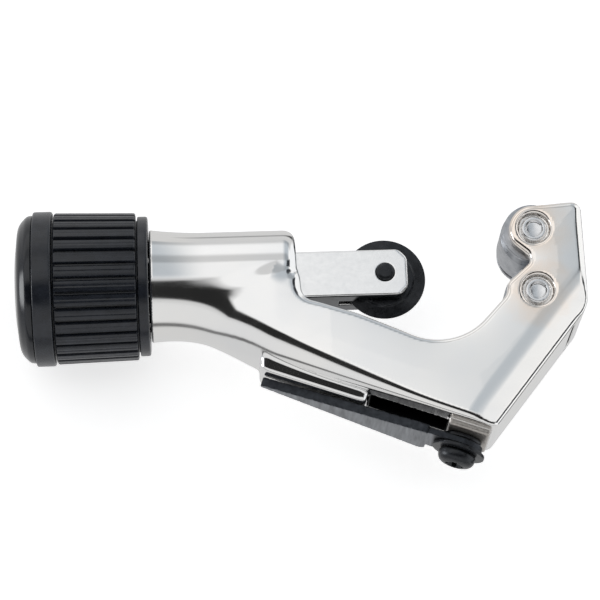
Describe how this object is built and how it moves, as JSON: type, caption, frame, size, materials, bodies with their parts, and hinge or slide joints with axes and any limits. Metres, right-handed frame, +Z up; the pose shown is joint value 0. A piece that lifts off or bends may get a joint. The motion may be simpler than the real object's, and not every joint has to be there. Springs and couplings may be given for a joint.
{
  "type": "pipe cutter",
  "caption": "Hand pipe cutter: ribbed feed knob, polished C-shaped frame, sliding bar with cutter wheel, guide rollers in the fork and a folding reamer blade.",
  "frame": {"origin": "middle of the underside of the part's box, with the tool lying on its side", "axes": "+X along the feed axis from the knob to the rollers, +Y from the arm to the fork's tip, +Z up across the tool's thickness"},
  "size_m": [0.1378, 0.0666, 0.0374],
  "materials": {
    "plated_casting": "mirror-polished plating on a zinc casting",
    "knob_plastic": "moulded black, satin",
    "cap_plastic": "moulded black, glossy",
    "screw_steel": "turned steel",
    "bar_metal": "bright plated, slightly textured",
    "wheel_steel": "hardened tool steel, black oxide",
    "pin_black": "black oxide",
    "pin_bright": "bright riveted steel",
    "roller_chrome": "polished",
    "blade_steel": "ground grey steel",
    "black_fastener": "black oxide",
    "zinc_fastener": "zinc plated"
  },
  "bodies": {
    "frame": {"frame_casting": "plated_casting", "front_thrust_washer": "zinc_fastener", "rear_thrust_washer": "zinc_fastener", "screw_retaining_ring": "black_fastener", "upper_roller_pin": "pin_bright", "lower_roller_pin": "pin_bright", "reamer_screw": "black_fastener", "reamer_flat_washer": "black_fastener", "reamer_spring_washer": "black_fastener"},
    "knob": {"feed_knob": "knob_plastic", "knob_end_cap": "cap_plastic", "knob_screw": "zinc_fastener", "knob_lock_washer": "zinc_fastener", "feed_screw": "screw_steel"},
    "slide": {"slide_bar": "bar_metal", "wheel_pin": "pin_black", "wheel_pin_clip": "black_fastener"},
    "wheel": {"cutter_wheel": "wheel_steel"},
    "upper_roller": {"upper_roller": "roller_chrome"},
    "lower_roller": {"lower_roller": "roller_chrome"},
    "reamer": {"reamer_blade": "blade_steel"}
  },
  "joints": [
    {"name": "knob_spin", "type": "hinge", "parent": "frame", "child": "knob", "pos_m": [-0.04985, 0.0146, 0.0187], "axis": [1, 0, 0], "range_deg": [-1800, 3500]},
    {"name": "slide_feed", "type": "slide", "parent": "frame", "child": "slide", "axis": [1, 0, 0], "range_m": [-0.01001, 0.01946]},
    {"name": "wheel_spin", "type": "hinge", "parent": "slide", "child": "wheel", "pos_m": [0.02015, 0.0146, 0.0187], "axis": [0, 0, 1], "continuous": true},
    {"name": "upper_roller_spin", "type": "hinge", "parent": "frame", "child": "upper_roller", "pos_m": [0.05595, 0.0224, 0.0187], "axis": [0, 0, 1], "continuous": true},
    {"name": "lower_roller_spin", "type": "hinge", "parent": "frame", "child": "lower_roller", "pos_m": [0.05595, 0.0068, 0.0187], "axis": [0, 0, 1], "continuous": true},
    {"name": "reamer_swing", "type": "hinge", "parent": "frame", "child": "reamer", "pos_m": [0.03636, -0.02754, 0.0187], "axis": [-0.3437, -0.9391, 0], "range_deg": [0, 180]}
  ],
  "couplings": [
    {"joint": "slide_feed", "follows": "knob_spin", "m_per_rad": 0.00031831}
  ]
}
